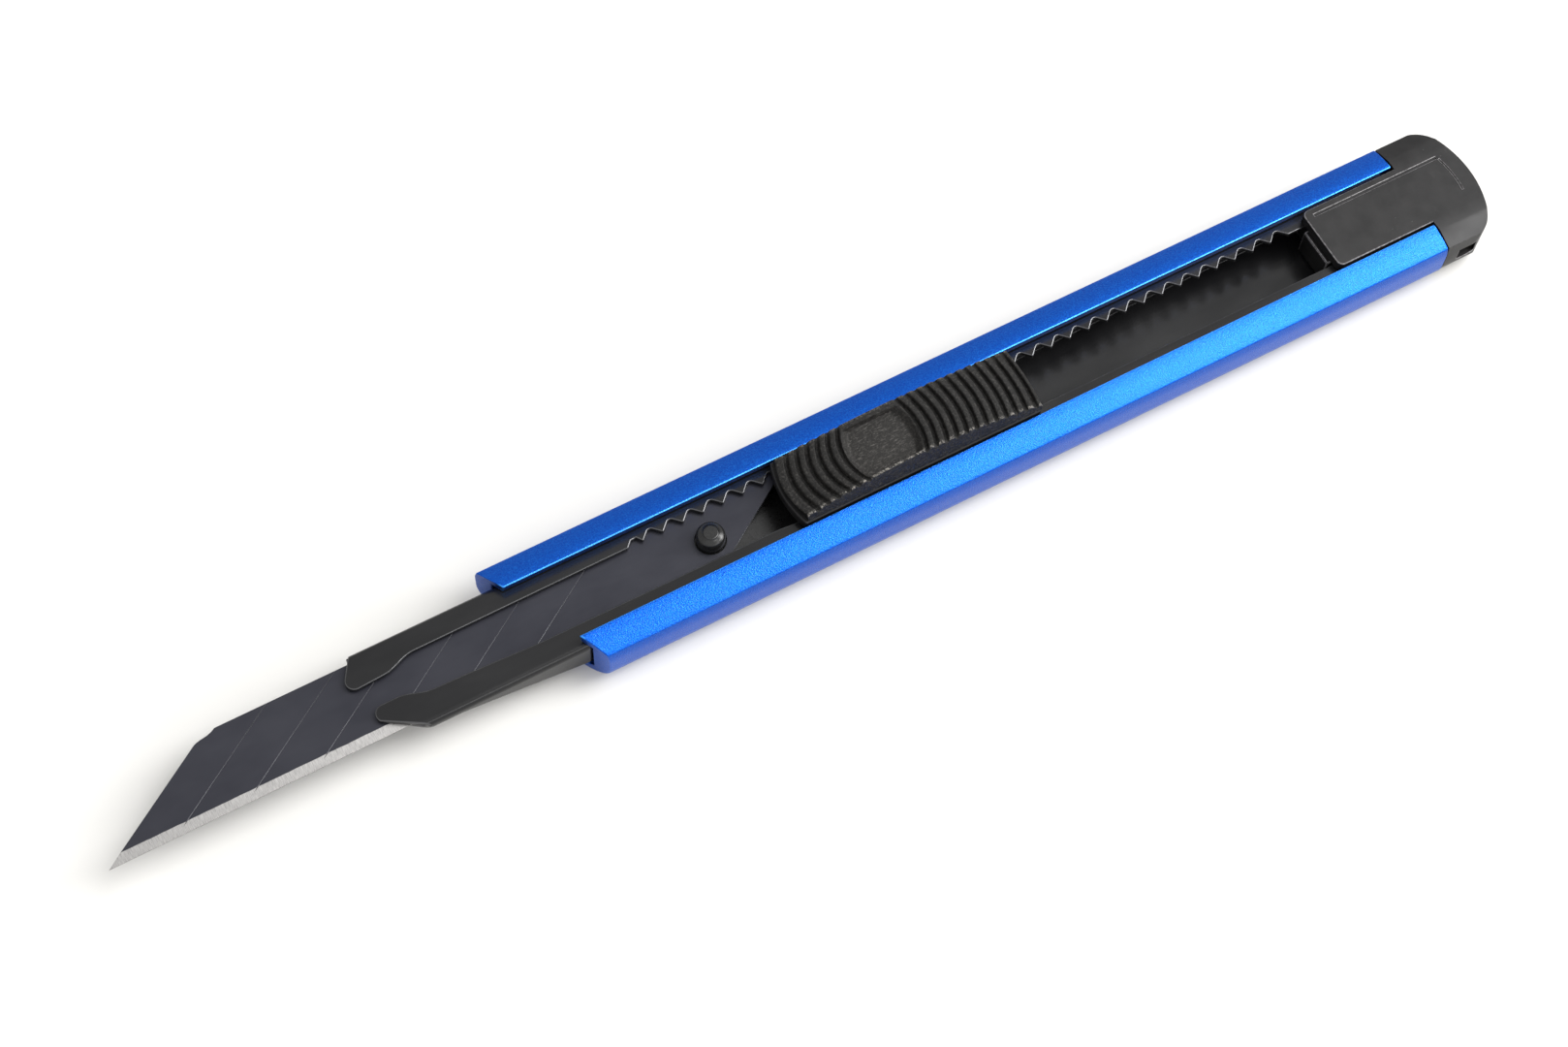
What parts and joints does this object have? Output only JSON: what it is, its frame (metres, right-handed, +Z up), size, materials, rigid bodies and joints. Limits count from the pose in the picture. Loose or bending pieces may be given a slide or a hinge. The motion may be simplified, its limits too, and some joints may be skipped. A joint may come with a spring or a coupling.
{
  "type": "utility knife",
  "caption": "Slim snap-off utility knife: slotted aluminium body, notched steel channel, slanted segmented blade on a ribbed auto-lock slider, pull-off end cap.",
  "frame": {"origin": "centre of the bounding box's base, on the table under the middle of the knife", "axes": "+X towards the end cap, with the blade tip at -X; +Y towards the notched side, away from the cutting edge; +Z up from the flat underside"},
  "size_m": [0.1678, 0.0154, 0.01],
  "materials": {
    "anodised_aluminium": "fine-blasted, blue anodised",
    "black_steel": "satin black coating",
    "cap_plastic": "satin moulded plastic",
    "strip_steel": "blackened strip",
    "stud_steel": "blackened, turned",
    "blade_steel": "black oxide with a bare ground edge",
    "base_plastic": "satin moulded plastic",
    "grip_plastic": "rough, textured",
    "pawl_steel": "blanked",
    "spring_steel": "polished strip",
    "rivet_steel": "plain"
  },
  "bodies": {
    "housing": {"body_extrusion": "anodised_aluminium", "blade_channel": "black_steel"},
    "slider": {"blade_carrier": "strip_steel", "blade_stud": "stud_steel", "blade": "blade_steel", "slider_base": "base_plastic", "pawl_spring": "spring_steel", "carrier_rivet_front": "rivet_steel", "carrier_rivet_rear": "rivet_steel"},
    "grip": {"slider_grip": "grip_plastic"},
    "pawl": {"lock_pawl": "pawl_steel"},
    "cap": {"end_cap": "cap_plastic"}
  },
  "joints": [
    {"name": "blade_travel", "type": "slide", "parent": "housing", "child": "slider", "axis": [1, 0, 0], "range_m": [-0.0241, 0.03374]},
    {"name": "grip_release", "type": "slide", "parent": "slider", "child": "grip", "axis": [1, 0, 0], "range_m": [-0.00085, 0], "stiffness_N_per_m": 600, "springref_m": 0.0008},
    {"name": "pawl_retract", "type": "slide", "parent": "slider", "child": "pawl", "axis": [0, 1, 0], "range_m": [-0.00085, 0], "deforming": ["pawl_spring"]},
    {"name": "cap_pull", "type": "slide", "parent": "housing", "child": "cap", "axis": [1, 0, 0], "range_m": [0, 0.02]}
  ],
  "couplings": [
    {"joint": "pawl_retract", "follows": "grip_release", "ratio": 1}
  ]
}
